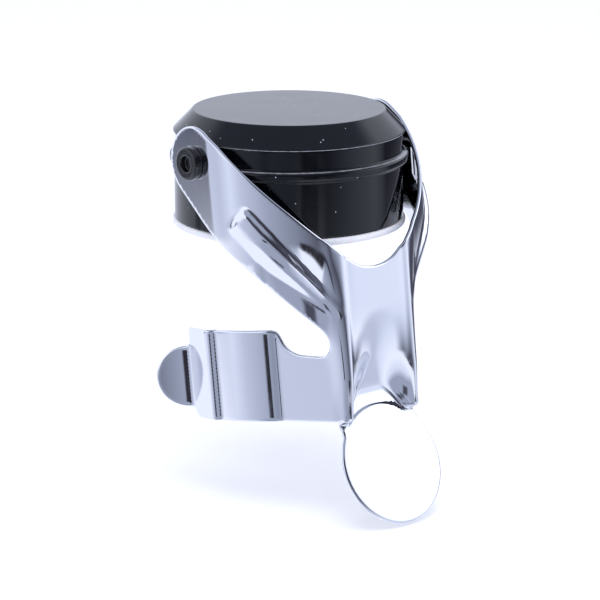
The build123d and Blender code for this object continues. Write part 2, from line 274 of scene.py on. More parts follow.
def bakedPiece(name, source, slot, sharpAngle=35, mergeWithin=0.0005):
    evaluated = source.evaluated_get(bpy.context.evaluated_depsgraph_get())
    mesh = bpy.data.meshes.new_from_object(evaluated)
    mesh.name = name
    bpy.data.objects.remove(source)
    form = bmesh.new()
    form.from_mesh(mesh)
    bmesh.ops.remove_doubles(form, verts=form.verts, dist=mergeWithin * mm)
    bmesh.ops.recalc_face_normals(form, faces=form.faces)
    form.to_mesh(mesh)
    form.free()
    mesh.shade_smooth()
    mesh.set_sharp_from_angle(angle=math.radians(sharpAngle))
    mesh.materials.clear()
    mesh.materials.append(materials[slot])
    return linkPiece(name, mesh)


def setInput(modifier, name, value):
    for item in modifier.node_group.interface.items_tree:
        if item.item_type == "SOCKET" and item.in_out == "INPUT" and item.name == name:
            modifier[item.identifier] = value


def newTree(name, inputs):
    tree = bpy.data.node_groups.new(name, "GeometryNodeTree")
    tree.interface.new_socket("Geometry", in_out="INPUT", socket_type="NodeSocketGeometry")
    tree.interface.new_socket("Geometry", in_out="OUTPUT", socket_type="NodeSocketGeometry")
    for label, kind in inputs.items():
        tree.interface.new_socket(label, in_out="INPUT", socket_type="NodeSocket" + kind)
    given = tree.nodes.new("NodeGroupInput")
    return tree, given


def endTree(tree, given, shape):
    real = addNode(tree, "GeometryNodeRealizeInstances", {"Geometry": shape})
    painted = addNode(tree, "GeometryNodeSetMaterial",
                      {"Geometry": real.outputs[0], "Material": given.outputs["Material"]})
    addNode(tree, "NodeGroupOutput", {0: painted.outputs[0]})


# Turned pieces: one tree turns a rounded profile about the cap's axis and trims it flat at the ears

def turnedTree():
    tree, given = newTree("turnedForm", {
        "Sides": "Int", "Turning Radius": "Float", "Flat At": "Float", "Material": "Material"})
    profile = addNode(tree, "GeometryNodeMeshToCurve", {"Mesh": given.outputs["Geometry"]})
    circle = addNode(tree, "GeometryNodeCurvePrimitiveCircle", {
        "Resolution": given.outputs["Sides"], "Radius": given.outputs["Turning Radius"]})
    swept = addNode(tree, "GeometryNodeCurveToMesh",
                    {"Curve": circle.outputs[0], "Profile Curve": profile.outputs[0]})
    place = addNode(tree, "GeometryNodeInputPosition")
    parts = addNode(tree, "ShaderNodeSeparateXYZ", {0: place.outputs[0]})
    opposite = addNode(tree, "ShaderNodeMath", {0: given.outputs["Flat At"], 1: -1.0},
                       operation="MULTIPLY")
    flat = addNode(tree, "ShaderNodeClamp", {
        "Value": parts.outputs["Y"], "Min": opposite.outputs[0], "Max": given.outputs["Flat At"]})
    moved = addNode(tree, "ShaderNodeCombineXYZ",
                    {"X": parts.outputs["X"], "Y": flat.outputs[0], "Z": parts.outputs["Z"]})
    trimmed = addNode(tree, "GeometryNodeSetPosition",
                      {"Geometry": swept.outputs[0], "Position": moved.outputs[0]})
    endTree(tree, given, trimmed.outputs[0])
    return tree


turnedForm = turnedTree()
turning = {"radius": 10.0, "sides": 192, "arcSteps": 6, "support": 0.15}


def cornerArc(before, corner, after, radius, steps):
    u = (before - corner) / np.linalg.norm(before - corner)
    v = (after - corner) / np.linalg.norm(after - corner)
    if radius == 0:
        return [corner]
    half = math.acos(np.clip(u @ v, -1, 1)) / 2
    centre = corner + (u + v) / np.linalg.norm(u + v) * radius / math.sin(half)
    first = corner + u * radius / math.tan(half) - centre
    last = corner + v * radius / math.tan(half) - centre
    start = math.atan2(first[1], first[0])
    turn = (math.atan2(last[1], last[0]) - start + math.pi) % (2 * math.pi) - math.pi
    angles = start + turn * np.arange(steps + 1) / steps
    return [centre + radius * np.array([math.cos(angle), math.sin(angle)]) for angle in angles]


def roundedProfile(points):
    support = turning["support"]
    corners = [np.array(p[:2], float) for p in points]
    radii = [p[2] if len(p) > 2 else 0 for p in points]
    arcs = [cornerArc(corners[i - 1], corners[i], corners[(i + 1) % len(corners)], radii[i],
                      turning["arcSteps"]) for i in range(len(corners))]
    out = []
    for arc, following in zip(arcs, arcs[1:] + arcs[:1]):
        out += arc
        run = following[0] - arc[-1]
        length = np.linalg.norm(run)
        if length > 4 * support:      # a point near each end keeps the flat between them flat
            out += [arc[-1] + run * support / length, following[0] - run * support / length]
    return out


# Each corner of a profile is a radius, a height and, where it isn't sharp, its rounding
def turnedPiece(name, slot, corners, flatAt=100.0, sides=turning["sides"]):
    outline = roundedProfile(corners)
    mesh = bpy.data.meshes.new(name + "Profile")
    # The circle's sweep turns a profile's y down, so heights go in upside down
    verts = [((r - turning["radius"]) * mm, -z * mm, 0.0) for r, z in outline]
    count = len(verts)
    mesh.from_pydata(verts, [(i, (i + 1) % count) for i in range(count)], [])
    source = linkPiece(name + "Profile", mesh)
    modifier = source.modifiers.new("turned", "NODES")
    modifier.node_group = turnedForm
    setInput(modifier, "Sides", sides)
    setInput(modifier, "Turning Radius", turning["radius"] * mm)
    setInput(modifier, "Flat At", flatAt * mm)
    setInput(modifier, "Material", materials[slot])
    bpy.context.view_layer.update()
    return bakedPiece(name, source, slot)


cap = {
    "wall": 21.5, "bead": 22.35, "band": 21.2, "flat": 21.75, "foot": 1.3, "seam": 17.45,
    "beadLow": 11.8, "beadHigh": 13.8, "beadSlope": 0.35, "beadRound": 0.45, "round": 0.3,
    "footRound": 0.25, "seamRound": 0.2, "slide": 16.6, "slideTop": 7.5, "core": 13.6,
    "mouth": 15.2, "mouthDepth": 2.5, "pocket": 17.55, "pocketTop": 4.35,
}
mouthFloor = cap["seam"] - cap["mouthDepth"]


def capBody():
    c = cap
    return turnedPiece("capBody", "black_plastic", [
        (c["pocket"], c["foot"]),
        (c["wall"], c["foot"], c["footRound"]),
        (c["wall"], c["beadLow"], c["round"]),
        (c["bead"], c["beadLow"] + c["beadSlope"], c["beadRound"]),
        (c["bead"], c["beadHigh"] - c["beadSlope"], c["beadRound"]),
        (c["band"], c["beadHigh"], c["round"]),
        (c["band"], c["seam"], c["seamRound"]),
        (c["mouth"], c["seam"]),
        (c["mouth"], mouthFloor),
        (c["core"], mouthFloor),
        (c["core"], c["slideTop"]),
        (c["slide"], c["slideTop"]),
        (c["slide"], c["pocketTop"]),
        (c["pocket"], c["pocketTop"]),
    ], flatAt=c["flat"])


cover = {
    "edge": 21.65, "edgeHeight": 0.35, "edgeRound": 0.25, "seamRound": 0.15, "bevelTop": 18.0,
    "bevelRound": 0.5, "top": 21.55, "wall": 2.0, "fit": 0.05, "springTop": 13.2, "post": 9.2,
    "bore": 6.8,
}


def capCover():
    c = cover
    roof = c["top"] - c["wall"]
    spigot = cap["mouth"] - c["fit"]
    spigotFoot = mouthFloor + c["fit"]
    return turnedPiece("capCover", "black_plastic", [
        (0.0, roof),
        (c["bore"], roof),
        (c["bore"], c["springTop"]),
        (c["post"], c["springTop"]),
        (c["post"], roof),
        (spigot - c["wall"], roof),
        (spigot - c["wall"], spigotFoot),
        (spigot, spigotFoot),
        (spigot, cap["seam"]),
        (c["edge"], cap["seam"], c["seamRound"]),
        (c["edge"], cap["seam"] + c["edgeHeight"], c["edgeRound"]),
        (c["bevelTop"], c["top"], c["bevelRound"]),
        (0.0, c["top"]),
    ])


seat = {"hole": 15.3, "rim": 21.9, "rimTop": 1.3, "rimRound": 0.5, "sleeve": 17.5, "bore": 16.6,
        "top": 4.3, "round": 0.2}


def seatRing():
    r = seat
    return turnedPiece("seatRing", "white_plastic", [
        (r["hole"], 0.0, r["round"]),
        (r["rim"], 0.0, r["rimRound"]),
        (r["rim"], r["rimTop"], r["rimRound"]),
        (r["sleeve"], r["rimTop"]),
        (r["sleeve"], r["top"], r["round"]),
        (r["bore"], r["top"], r["round"]),
        (r["bore"], r["rimTop"]),
        (r["hole"], r["rimTop"], r["round"]),
    ])


placePiece(capBody(), "cap", "black_plastic", "cap_body")
placePiece(capCover(), "cap", "black_plastic", "cap_cover")
placePiece(seatRing(), "cap", "white_plastic", "seat_ring")
print("cap made")

# Sprung seal
pad = {"grooveIn": 11.5, "grooveOut": 12.5, "grooveDepth": 0.5, "grooveRound": 0.1, "face": 15.0,
       "step": 1.4, "stepRound": 0.2, "radius": 16.3, "top": 3.2, "round": 0.3}
plate = {"radius": 16.5, "top": 4.8, "boss": 7.1, "bossTop": 7.4, "bore": 5.5, "round": 0.3}
spring = {"radius": 8.0, "wire": 1.2, "low": 4.8, "length": 8.4, "turns": 3.5, "travel": 2.5,
          "turnSteps": 48, "wireSides": 20}


def sealPad():
    p = pad
    return turnedPiece("sealPad", "silicone", [
        (0.0, 0.0),
        (p["grooveIn"], 0.0, p["grooveRound"]),
        (p["grooveIn"], p["grooveDepth"]),
        (p["grooveOut"], p["grooveDepth"]),
        (p["grooveOut"], 0.0, p["grooveRound"]),
        (p["face"], 0.0, p["round"]),
        (p["face"], p["step"], p["stepRound"]),
        (p["radius"], p["step"], p["round"]),
        (p["radius"], p["top"], p["round"]),
        (0.0, p["top"]),
    ])


def pressurePlate():
    p = plate
    return turnedPiece("pressurePlate", "plain_plastic", [
        (0.0, pad["top"]),
        (p["radius"], pad["top"], p["round"]),
        (p["radius"], p["top"], p["round"]),
        (p["boss"], p["top"], p["round"]),
        (p["boss"], p["bossTop"], p["round"]),
        (p["bore"], p["bossTop"], p["round"]),
        (p["bore"], p["top"]),
        (0.0, p["top"]),
    ])


def sealSpring():
    tree, given = newTree("coilForm", {
        "Turns": "Float", "Coil Radius": "Float", "Wire Radius": "Float", "Rise": "Float",
        "Start": "Vector", "Material": "Material"})
    coil = addNode(tree, "GeometryNodeCurveSpiral", {
        "Resolution": spring["turnSteps"], "Rotations": given.outputs["Turns"],
        "Start Radius": given.outputs["Coil Radius"], "End Radius": given.outputs["Coil Radius"],
        "Height": given.outputs["Rise"]})
    section = addNode(tree, "GeometryNodeCurvePrimitiveCircle",
                      {"Resolution": spring["wireSides"], "Radius": given.outputs["Wire Radius"]})
    wire = addNode(tree, "GeometryNodeCurveToMesh", {
        "Curve": coil.outputs[0], "Profile Curve": section.outputs[0], "Fill Caps": True})
    placed = addNode(tree, "GeometryNodeTransform",
                     {"Geometry": wire.outputs[0], "Translation": given.outputs["Start"]})
    endTree(tree, given, placed.outputs[0])
    source = linkPiece("coilSource", bpy.data.meshes.new("coilSource"))
    modifier = source.modifiers.new("coil", "NODES")
    modifier.node_group = tree
    setInput(modifier, "Turns", spring["turns"])
    setInput(modifier, "Coil Radius", spring["radius"] * mm)
    setInput(modifier, "Wire Radius", spring["wire"] / 2 * mm)
    setInput(modifier, "Rise", (spring["length"] - spring["wire"]) * mm)
    setInput(modifier, "Start", (0, 0, (spring["low"] + spring["wire"] / 2) * mm))
    setInput(modifier, "Material", materials["spring_steel"])
    bpy.context.view_layer.update()
    return bakedPiece("sealSpring", source, "spring_steel")


placePiece(sealPad(), "seal", "silicone", "seal_pad")
placePiece(pressurePlate(), "seal", "plain_plastic", "pressure_plate")
coil = sealSpring()
placePiece(coil, "cap", "spring_steel", "seal_spring")
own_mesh(coil)
print("seal made")

# Hinge pins, each turned upright and then laid over to its side
pin = {"shank": 2.4, "head": 3.1, "tip": 16.0, "under": 22.8, "top": 24.45, "tipRound": 0.3,
       "underRound": 0.2, "headRound": 0.55, "dimple": 1.5, "dimpleDepth": 1.0,
       "dimpleTaper": 0.25, "dimpleRound": 0.3, "floorRound": 0.2, "sides": 72}


def pivotPin(name, side):
    p = pin
    dimpleFloor = p["top"] - p["dimpleDepth"]
    piece = turnedPiece(name, "pin_plastic", [
        (0.0, p["tip"]),
        (p["shank"], p["tip"], p["tipRound"]),
        (p["shank"], p["under"]),
        (p["head"], p["under"], p["underRound"]),
        (p["head"], p["top"], p["headRound"]),
        (p["dimple"], p["top"], p["dimpleRound"]),
        (p["dimple"] - p["dimpleTaper"], dimpleFloor, p["floorRound"]),
        (0.0, dimpleFloor),
    ], sides=p["sides"])
    lay = Matrix.Rotation(math.radians(-90 * side), 4, "X")
    piece.data.transform(Matrix.Translation((0, 0, pinHeight * mm)) @ lay)
    return piece


placePiece(pivotPin("pivotPinLeft", -1), "cap", "pin_plastic", "pivot_pin_left")
placePiece(pivotPin("pivotPinRight", 1), "cap", "pin_plastic", "pivot_pin_right")
print("pins made")

# Lever: one bent sheet. Every point is named by s, its run round the sheet from the middle of the
# front, and z, its height over the pins, both in millimetres along the lever. Two plans, one round
# the cap and one through the clip, give its place at each s, and z blends the two.
lever = {
    # plan round the cap
    "front": 22.0, "earFace": 22.75, "corner": 17.8, "cornerSteps": 60, "earRun": 45.0,
    # plan through the clip: front, folded edge of the neck, wing, step, tail and finger tab
    "neckHalf": 8.6, "neckFold": 2.2, "webEnd": (8.85, 13.97), "creaseRound": 1.0, "webRound": 0.6,
    "clipRadius": 19.3, "clipBack": 4.2, "clipFrom": 51.0, "clipTo": 84.5, "clipSteps": 14,
    "stepBack": 1.3, "stepOut": 1.2, "stepRounds": (0.5, 1.0), "tailLength": 6.3, "tailTurn": 4.0,
    "tabRound": 0.7, "tabTurn": 50.0, "tabLength": 6.6, "tabSpare": 1.0, "foldSteps": 24,
    # how the plans blend: over the arms, at the wings' roots and at the thumb disc
    "bendStart": -13.0, "bendEnd": -41.0, "rootAt": (12, 20), "rootTop": (-32.5, -27.0),
    "rootFrom": 9, "rootRun": 4, "flatStart": -49.2, "flatRun": 1.2,
    # depth of the neck's trough, its side legs, the foot and the disc
    "troughTop": -27.0, "troughRun": 23.0, "troughDepth": 5.0, "troughSide": 8.0,
    "troughAt": (-50, -44, -38), "troughWide": (5.5, 2.5, 0.0),
    "legSet": 0.45, "legStart": -40, "legRun": 8,
    "footStart": -48.3, "footRun": 2.6, "footDrop": 6.0,
    "discDrop": -57.8, "discRadius": 11.3, "discTilt": math.radians(20.0), "discForward": 0.335,
    "discBlend": 1.0, "discStep": 0.28, "stepIn": 0.15, "stepRun": 0.35, "stepEnd": 6.5,
    "stepFade": 1.6, "depthEnd": 10, "depthRun": 2, "depthLow": -49.5,
    # pressed rib on each arm
    "ribStart": (25.3, -10.2), "ribEnd": (12.0, -25.6), "ribHeight": 0.95, "ribCrest": 1.0,
    "ribUpper": 1.35, "ribLower": 2.9, "ribNose": 2.1, "ribTail": 5.0, "ribFade": 0.55,
    "ribWidths": (1.0, 0.85, 0.45), "ribRounding": 0.25,
    # outline
    "earCentre": 37.1, "earRadius": 6.7, "holeRadius": 2.45, "clipTop": -31.6, "clipBottom": -48.8,
    "footRound": 2.0, "tabOut": 0.7, "tabDrop": -41.0, "tabRadius": 5.8, "tabDish": 0.34,
    "tabEdge": 0.3, "tabHalf": 3.1,
    # mesh
    "edgeSpacing": 0.33, "edgeRounds": 3, "spacing": 0.42, "edgeClear": 0.6, "rimSteps": 7,
    "browRows": (-0.15, 0.03, 0.2), "browArc": (42, 138), "browMiddle": 0.02, "browClear": 0.4,
    "browLow": -51.5,
}


def smooth(t):
    t = np.clip(t, 0.0, 1.0)
    return t * t * (3 - 2 * t)


def polar(length, degrees):
    return np.array([math.cos(math.radians(degrees)), math.sin(math.radians(degrees))]) * length


def measured(points):
    runs = np.r_[0, np.cumsum(np.linalg.norm(np.diff(points, axis=0), axis=1))]
    keep = np.r_[True, np.diff(runs) > 1e-9]
    return runs[keep], points[keep]


def filletPath(corners, radii):
    corners = [np.array(c, float) for c in corners]
    out = [corners[0]]
    for before, corner, after, radius in zip(corners, corners[1:], corners[2:], radii):
        out += cornerArc(before, corner, after, radius, lever["foldSteps"])
    return measured(np.array(out + [corners[-1]]))


def capPath():
    turn = np.linspace(0, math.pi / 2, lever["cornerSteps"])
    radius = lever["corner"]
    bend = np.stack([lever["front"] - radius * (1 - np.cos(turn)),
                     lever["earFace"] - radius * (1 - np.sin(turn))], -1)
    end = bend[-1] + (-lever["earRun"], 0.0)
    return measured(np.vstack([[lever["front"], 0.0], bend, end]))


def clipPath():
    l = lever
    angles = np.radians(np.linspace(l["clipFrom"], l["clipTo"], l["clipSteps"]))
    arc = np.stack([l["clipRadius"] * np.cos(angles) - l["clipBack"],
                    l["clipRadius"] * np.sin(angles)], -1)
    step = arc[-1] + (-l["stepBack"], l["stepOut"])
    tail = step + polar(l["tailLength"], 180 + l["tailTurn"])
    tab = tail + polar(l["tabLength"] + l["tabSpare"], 180 - l["tabTurn"])
    corners = [(l["front"], 0.0), (l["front"], l["neckHalf"]), l["webEnd"], *arc, step, tail, tab]
    radii = [l["neckFold"], l["creaseRound"], l["webRound"]] + [0.0] * (l["clipSteps"] - 2)
    return filletPath(corners, radii + [*l["stepRounds"], l["tabRound"]]), tail


capRuns, capPlan = capPath()
(clipRuns, clipPlan), tailEnd = clipPath()
tailRun = clipRuns[np.argmin(np.linalg.norm(clipPlan - tailEnd, axis=1))]


def follow(runs, plan, s):
    return np.stack([np.interp(s, runs, plan[:, 0]), np.interp(s, runs, plan[:, 1])], -1)


def softLower(a, b, blend):
    share = np.clip(0.5 + 0.5 * (b - a) / blend, 0, 1)
    return b * (1 - share) + a * share - blend * share * (1 - share)


def sheetDepth(s, z):
    l = lever
    wide = np.interp(z, l["troughAt"], l["troughWide"])
    across = 1 - smooth((s - wide) / (l["troughSide"] - wide))
    trough = l["troughDepth"] * smooth((l["troughTop"] - z) / l["troughRun"]) * across
    legs = l["legSet"] * smooth((l["legStart"] - z) / l["legRun"])
    foot = l["footDrop"] * smooth((l["footStart"] - z) / l["footRun"])
    disc = (z - l["discDrop"]) * math.tan(l["discTilt"]) - l["discForward"]
    reach = np.hypot(s, (z - l["discDrop"]) / math.cos(l["discTilt"]))
    pressed = l["discStep"] * (1 - smooth((reach - l["discRadius"] + l["stepIn"]) / l["stepRun"]))
    # The step at the disc's edge runs out at the corners
    pressed = pressed + (l["discStep"] - pressed) * smooth((s - l["stepEnd"]) / l["stepFade"])
    return softLower(trough + legs + foot, disc, l["discBlend"]) - pressed


def bareSheet(s, z):
    l = lever
    side, s = np.sign(s), np.abs(s)
    upper = follow(capRuns, capPlan, s)
    lower = follow(clipRuns, clipPlan, s)
    share = smooth((l["bendStart"] - z) / (l["bendStart"] - l["bendEnd"]))
    rootTop = np.interp(s, l["rootAt"], l["rootTop"])
    root = smooth((s - l["rootFrom"]) / l["rootRun"]) * smooth((rootTop - z) / l["rootRun"])
    share = 1 - (1 - share) * (1 - root)
    plan = upper * (1 - share[..., None]) + lower * share[..., None]
    flat = smooth((l["flatStart"] - z) / l["flatRun"])[..., None]
    plan = plan * (1 - flat) + np.stack([np.full_like(s, l["front"]), s], -1) * flat
    beside = smooth((s - l["depthEnd"]) / l["depthRun"]) * (z > l["depthLow"])
    x = plan[..., 0] - sheetDepth(s, z) * (1 - beside)
    return np.stack([x, plan[..., 1] * np.where(side < 0, -1, 1), z], -1)


def faceNormals(shape, s, z):
    step = 0.02
    alongS = shape(s + step, z) - shape(s - step, z)
    alongZ = shape(s, z + step) - shape(s, z - step)
    normal = np.cross(alongS, alongZ)
    return normal / np.linalg.norm(normal, axis=-1, keepdims=True)


def ribHeight(s, z):
    l = lever
    start, end = np.array(l["ribStart"]), np.array(l["ribEnd"])
    length = np.linalg.norm(end - start)
    axis = (end - start) / length
    offset = np.stack([np.abs(s) - start[0], z - start[1]], -1)
    along = offset @ axis
    across = offset @ np.array([-axis[1], axis[0]])      # towards the arm's lower edge
    width = np.interp(along, [0, 0.5 * length, length], l["ribWidths"])
    crest = l["ribCrest"] * width
    upper = 1 - smooth((-across - crest) / l["ribUpper"])
    fall = np.clip((across - crest) / (l["ribLower"] * width), 0, 1)
    # The lower flank is nearly flat, so it mirrors as one pale panel
    lower = 1 - (l["ribRounding"] * smooth(fall) + (1 - l["ribRounding"]) * fall)
    ends = 1 - smooth(-along / l["ribNose"])
    fade = np.interp(along, [l["ribFade"] * length, length + l["ribTail"]], [1.0, 0.0])
    return l["ribHeight"] * np.where(across > 0, lower, upper) * ends * fade


# The finger tab is rolled hollow between its fold and its tip
def tabDish(s, z):
    half = lever["tabHalf"]
    across = np.clip((np.abs(s) - tailRun - lever["tabEdge"] - half) / half, -1, 1)
    return lever["tabDish"] * (1 - across * across) * (z < lever["clipTop"])


def leverSheet(s, z):
    relief = ribHeight(s, z) - tabDish(s, z)
    return bareSheet(s, z) + faceNormals(bareSheet, s, z) * relief[..., None]


def arcAbout(centre, radius, first, last, spacing=0.3):
    count = max(3, int(abs(math.radians(last - first)) * radius / spacing))
    angles = np.radians(np.linspace(first, last, count))
    return [(centre[0] + radius * math.cos(a), centre[1] + radius * math.sin(a)) for a in angles]


def through(points, steps=12):
    p = [np.array(q, float) for q in points]
    p = [2 * p[0] - p[1]] + p + [2 * p[-1] - p[-2]]
    out = []
    for a, b, c, d in zip(p, p[1:], p[2:], p[3:]):
        for t in np.linspace(0, 1, steps, endpoint=False):
            out.append(tuple(0.5 * (2 * b + (c - a) * t + (2 * a - 5 * b + 4 * c - d) * t * t
                                    + (3 * b - a - 3 * c + d) * t ** 3)))
    out.append(tuple(p[-2]))
    return out


def halfOutline():
    l = lever
    ear = (l["earCentre"], 0.0)
    tab = (tailRun + l["tabOut"], l["tabDrop"])
    disc = (0.0, l["discDrop"])
    top, bottom, heel = l["clipTop"], l["clipBottom"], l["footRound"]
    # From the middle of the front, up the arm's upper edge and round the ear
    upper = through([(0, -21.0), (2.4, -20.7), (4.6, -19.8), (7.9, -17.4), (12.5, -13.4),
                     (18.6, -7.7), (25.2, -1.4), (30.2, 3.3)])
    around = arcAbout(ear, l["earRadius"], 133, -46)
    # Back down the arm's lower edge, round the notch and along the web to the wing's top
    lower = through([(38.1, -8.5), (34.6, -12.0), (30.4, -15.4), (25.5, -19.7), (21.3, -23.9),
                     (16.7, -28.3), (13.6, -31.0), (12.3, -32.3), (11.75, -33.6), (11.8, -35.0),
                     (12.2, -36.0), (13.2, -36.5)])
    web = through([(15.0, -36.45), (18.0, -36.2), (19.9, -35.4), (21.0, -34.2), (21.7, -32.8),
                   (22.3, -31.9), (23.2, top)])
    # Tail, finger tab and the wing's lower edge
    tail = through([(tailRun - 1.0, top), (tailRun - 0.2, top + 0.1)]) + [(tailRun, top - 0.4)]
    finger = [(tailRun, l["tabDrop"] + l["tabRadius"] + 0.3)]
    finger += arcAbout(tab, l["tabRadius"], 90, -90)
    finger += [(tailRun, l["tabDrop"] - l["tabRadius"] - 0.1)]
    foot = arcAbout((tailRun - heel, bottom + heel), heel, -20, -90)
    low = [(22.0, bottom), (10.4, bottom), (9.7, bottom - 0.3), (9.2, bottom - 0.9),
           (8.95, bottom - 1.7)]
    tiltedDisc = [(x, disc[1] + (z - disc[1]) * math.cos(l["discTilt"]))
                  for x, z in arcAbout(disc, l["discRadius"], 36, -90)]
    return upper + around + lower + web + tail + finger + foot + low + tiltedDisc


def evenly(points, spacing):
    runs, points = measured(np.vstack([points, points[:1]]))
    count = int(round(runs[-1] / spacing))
    at = np.arange(count) * runs[-1] / count
    return follow(runs, points, at)


def turnSoft(points, rounds):
    for _ in range(rounds):
        points = points * 0.5 + (np.roll(points, 1, 0) + np.roll(points, -1, 0)) * 0.25
    return points


def insideOf(loop, points):
    inside = np.zeros(len(points), bool)
    for (x0, y0), (x1, y1) in zip(loop, np.roll(loop, -1, 0)):
        crosses = (y0 > points[:, 1]) != (y1 > points[:, 1])
        if y0 != y1:
            inside ^= crosses & (points[:, 0] < (x1 - x0) * (points[:, 1] - y0) / (y1 - y0) + x0)
    return inside


def insetLoop(loop, distance):
    tangent = np.roll(loop, -1, 0) - np.roll(loop, 1, 0)
    tangent /= np.linalg.norm(tangent, axis=1, keepdims=True)
    return loop + np.stack([-tangent[:, 1], tangent[:, 0]], -1) * distance


# The sheet's outline and its two pin holes, half a thickness in from the finished edge
def leverLoops():
    l = lever
    half = sheetThickness / 2
    side = np.array(halfOutline())
    whole = np.vstack([side[::-1], side[1:] * (-1, 1)])      # runs anticlockwise
    loops = [insetLoop(turnSoft(evenly(whole, l["edgeSpacing"]), l["edgeRounds"]), half)]
    for hand in (1, -1):
        hole = arcAbout((l["earCentre"] * hand, 0.0), l["holeRadius"] + half, 360, 0)
        loops.append(np.array(hole)[:-1])
    return loops


# Points that fill the sheet: an even grid, with closer rows along the disc's pressed edge
def leverFill(loops):
    l = lever
    gap = l["spacing"]
    low, high = loops[0].min(0), loops[0].max(0)
    rows = []
    for k, z in enumerate(np.arange(low[1], high[1], gap * math.sqrt(3) / 2)):
        s = np.arange(low[0] + (k % 2) * gap / 2, high[0], gap)
        rows.append(np.stack([s, np.full_like(s, z)], -1))
    filled = np.vstack(rows)
    filled = filled[insideOf(loops[0], filled)]
    for hole in loops[1:]:
        filled = filled[~insideOf(hole, filled)]
    edges = kdtree.KDTree(sum(len(loop) for loop in loops))
    for i, p in enumerate(np.vstack(loops)):
        edges.insert((*p, 0.0), i)
    edges.balance()
    clear = gap * l["edgeClear"]
    filled = np.array([p for p in filled if edges.find((*p, 0.0))[2] > clear])
    squeeze = math.cos(l["discTilt"])
    brow = []
    for extra in l["browRows"]:
        arc = np.array(arcAbout((0.0, 0.0), l["discRadius"] + extra, *l["browArc"]))
        brow.append(arc * (1, squeeze) + (0.0, l["discDrop"]))
    beyond = np.hypot(filled[:, 0], (filled[:, 1] - l["discDrop"]) / squeeze) - l["discRadius"]
    away = np.abs(beyond - l["browMiddle"]) > l["browClear"]
    return np.vstack([filled[away | (filled[:, 1] < l["browLow"])], *brow])


def leverFaces(loops, filled):
    edges, start = [], 0
    for loop in loops:
        count = len(loop)
        edges += [(start + i, start + (i + 1) % count) for i in range(count)]
        start += count
    flat = [Vector(p) for p in np.vstack(loops + [filled])]
    result = geometry.delaunay_2d_cdt(flat, edges, [], 0, 1e-7)
    points = np.array([tuple(p) for p in result[0]])
    faces = np.array([f for f in result[2] if len(f) == 3])
    middle = points[faces].mean(1)
    keep = insideOf(loops[0], middle)
    for hole in loops[1:]:
        keep &= ~insideOf(hole, middle)
    faces = faces[keep]
    spin = np.cross(points[faces[:, 1]] - points[faces[:, 0]],
                    points[faces[:, 2]] - points[faces[:, 0]])
    faces[spin < 0] = faces[spin < 0][:, ::-1]
    return points, faces


def buildLever():
    loops = leverLoops()
    points, faces = leverFaces(loops, leverFill(loops))
    s, z = points[:, 0], points[:, 1]
    face = leverSheet(s, z)
    normal = faceNormals(leverSheet, s, z)
    half, steps = sheetThickness / 2, lever["rimSteps"]
    count = len(points)
    used = 2 * count
    verts = [face, face - normal * sheetThickness]
    polys = [tuple(f) for f in faces] + [tuple(f[::-1] + count) for f in faces]
    start = 0
    for loop in loops:      # a half round rim joins the two faces
        size = len(loop)
        index = np.arange(start, start + size)
        start += size
        tangent = np.roll(face[index], -1, 0) - np.roll(face[index], 1, 0)
        out = np.cross(tangent, normal[index])
        out /= np.linalg.norm(out, axis=1, keepdims=True)
        centre = face[index] - normal[index] * half
        rings = [index]
        for k in range(1, steps):
            angle = math.pi * k / steps
            verts.append(centre + half * (normal[index] * math.cos(angle) + out * math.sin(angle)))
            rings.append(np.arange(used, used + size))
            used += size
        rings.append(index + count)
        for a, b in zip(rings, rings[1:]):
            for i in range(size):
                j = (i + 1) % size
                polys.append((a[i], b[i], b[j], a[j]))
    lean = np.array([[math.cos(leverLean), 0, -math.sin(leverLean)], [0, 1, 0],
                     [math.sin(leverLean), 0, math.cos(leverLean)]])
    verts = np.vstack(verts) @ lean.T + (0, 0, pinHeight)
    mesh = bpy.data.meshes.new("lever")
    mesh.from_pydata((verts * mm).tolist(), [], [tuple(int(i) for i in p) for p in polys])
    mesh.update()
    mesh.shade_smooth()
    mesh.materials.append(materials["polished_steel"])
    return linkPiece("leverSheet", mesh)


leverPiece = buildLever()
placePiece(leverPiece, "lever", "polished_steel", "lever")
print("lever made", len(leverPiece.data.polygons))

# Studio: pale floor, white world, graded surround and one soft lamp
studio = {
    "cameraAt": (350.48, -290.77, 107.27), "cameraLooks": (-0.74022766, 0.61982283, -0.26054302),
    "cameraRight": (0.64176192, 0.7669031, 0.00112886), "lens": 148.88, "clip": (0.01, 20.0),
    "floorSize": 8.0, "floorGap": 0.0003, "floor": "#f4f5f9", "floorGlow": 0.2,
    "shadowSky": "#e2e5f0", "seenSky": "#ffffff",
    "lampAt": (0.15, -0.1, 0.6), "lampSize": 0.5, "lampPower": 1.5,
}


def makeCamera():
    data = bpy.data.cameras.new("camera")
    data.lens = studio["lens"]
    data.clip_start, data.clip_end = studio["clip"]
    camera = linkPiece("camera", data)
    back = -Vector(studio["cameraLooks"]).normalized()
    right = Vector(studio["cameraRight"]).normalized()
    up = back.cross(right)
    turn = Matrix((right, up, back)).transposed().to_4x4()
    camera.matrix_world = Matrix.Translation(Vector(studio["cameraAt"]) * mm) @ turn
    bpy.context.scene.camera = camera


# Matt paper that glows a little, so that it stays near white and keeps the shadow
def makeFloor():
    bpy.ops.mesh.primitive_plane_add(size=studio["floorSize"],
                                     location=(0, 0, cadBox[0].z - studio["floorGap"]))
    floor = bpy.context.object
    floor.name = "floor"
    material, _, shader, _ = startMaterial(
        "paperFloor", Base_Color=fromHex(studio["floor"]), Roughness=0.8)
    shader.inputs["Emission Color"].default_value = (1, 1, 1, 1)
    shader.inputs["Emission Strength"].default_value = studio["floorGlow"]
    floor.data.materials.append(material)
    floor.visible_glossy = False


